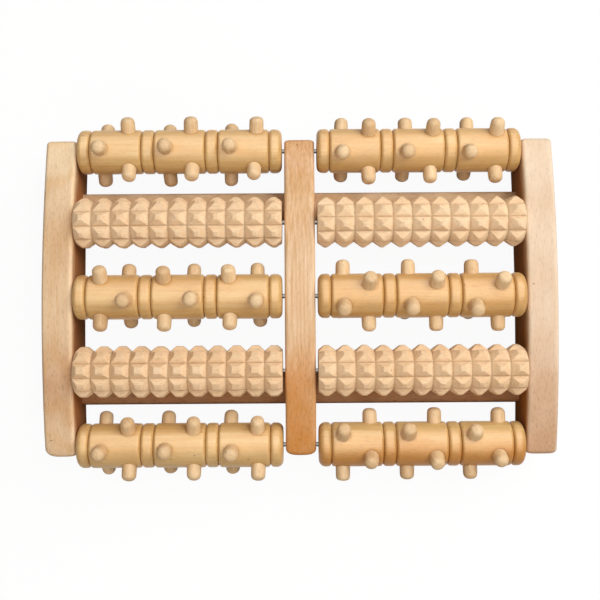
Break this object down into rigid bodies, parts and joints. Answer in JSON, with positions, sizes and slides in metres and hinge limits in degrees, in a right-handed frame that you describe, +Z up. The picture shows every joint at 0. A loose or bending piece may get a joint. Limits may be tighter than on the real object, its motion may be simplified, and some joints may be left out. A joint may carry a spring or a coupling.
{
  "type": "foot massage roller",
  "caption": "Arched wooden frame standing on its rails, with rows of free-spinning pegged and pyramid-toothed wooden rollers on steel axle rods for massaging both feet.",
  "frame": {"origin": "on the floor, under the middle of the frame, at the bottom centre of the bounding box", "axes": "+X across both feet towards the right-hand rollers, +Y from the front row to the rear row, +Z up"},
  "size_m": [0.286, 0.2075, 0.0513],
  "materials": {
    "rail_wood": "sanded, thin clear coat",
    "stretcher_wood": "sanded",
    "roller_wood": "turned, satin clear coat",
    "peg_wood": "tumbled smooth, satin",
    "tooth_wood": "cut, matt",
    "steel": "drawn rod"
  },
  "bodies": {
    "frame": {"left_rail": "rail_wood", "centre_rail": "rail_wood", "right_rail": "rail_wood", "rear_stretcher": "stretcher_wood", "front_stretcher": "stretcher_wood", "axle_1": "steel", "axle_2": "steel", "axle_3": "steel", "axle_4": "steel", "axle_5": "steel"},
    "roller_1_left": {"peg_roller_1_left": "roller_wood", "pegs_1_left": "peg_wood"},
    "roller_1_right": {"peg_roller_1_right": "roller_wood", "pegs_1_right": "peg_wood"},
    "roller_2_left": {"tooth_roller_2_left": "tooth_wood"},
    "roller_2_right": {"tooth_roller_2_right": "tooth_wood"},
    "roller_3_left": {"peg_roller_3_left": "roller_wood", "pegs_3_left": "peg_wood"},
    "roller_3_right": {"peg_roller_3_right": "roller_wood", "pegs_3_right": "peg_wood"},
    "roller_4_left": {"tooth_roller_4_left": "tooth_wood"},
    "roller_4_right": {"tooth_roller_4_right": "tooth_wood"},
    "roller_5_left": {"peg_roller_5_left": "roller_wood", "pegs_5_left": "peg_wood"},
    "roller_5_right": {"peg_roller_5_right": "roller_wood", "pegs_5_right": "peg_wood"}
  },
  "joints": [
    {"name": "spin_1_left", "type": "hinge", "parent": "frame", "child": "roller_1_left", "pos_m": [-0.06758, 0.0835, 0.0221], "axis": [1, 0, 0], "continuous": true},
    {"name": "spin_1_right", "type": "hinge", "parent": "frame", "child": "roller_1_right", "pos_m": [0.06758, 0.0835, 0.0221], "axis": [1, 0, 0], "continuous": true},
    {"name": "spin_2_left", "type": "hinge", "parent": "frame", "child": "roller_2_left", "pos_m": [-0.06758, 0.04175, 0.02877], "axis": [1, 0, 0], "continuous": true},
    {"name": "spin_2_right", "type": "hinge", "parent": "frame", "child": "roller_2_right", "pos_m": [0.06758, 0.04175, 0.02877], "axis": [1, 0, 0], "continuous": true},
    {"name": "spin_3_left", "type": "hinge", "parent": "frame", "child": "roller_3_left", "pos_m": [-0.06758, 0, 0.03097], "axis": [1, 0, 0], "continuous": true},
    {"name": "spin_3_right", "type": "hinge", "parent": "frame", "child": "roller_3_right", "pos_m": [0.06758, 0, 0.03097], "axis": [1, 0, 0], "continuous": true},
    {"name": "spin_4_left", "type": "hinge", "parent": "frame", "child": "roller_4_left", "pos_m": [-0.06758, -0.04175, 0.02877], "axis": [1, 0, 0], "continuous": true},
    {"name": "spin_4_right", "type": "hinge", "parent": "frame", "child": "roller_4_right", "pos_m": [0.06758, -0.04175, 0.02877], "axis": [1, 0, 0], "continuous": true},
    {"name": "spin_5_left", "type": "hinge", "parent": "frame", "child": "roller_5_left", "pos_m": [-0.06758, -0.0835, 0.0221], "axis": [1, 0, 0], "continuous": true},
    {"name": "spin_5_right", "type": "hinge", "parent": "frame", "child": "roller_5_right", "pos_m": [0.06758, -0.0835, 0.0221], "axis": [1, 0, 0], "continuous": true}
  ]
}
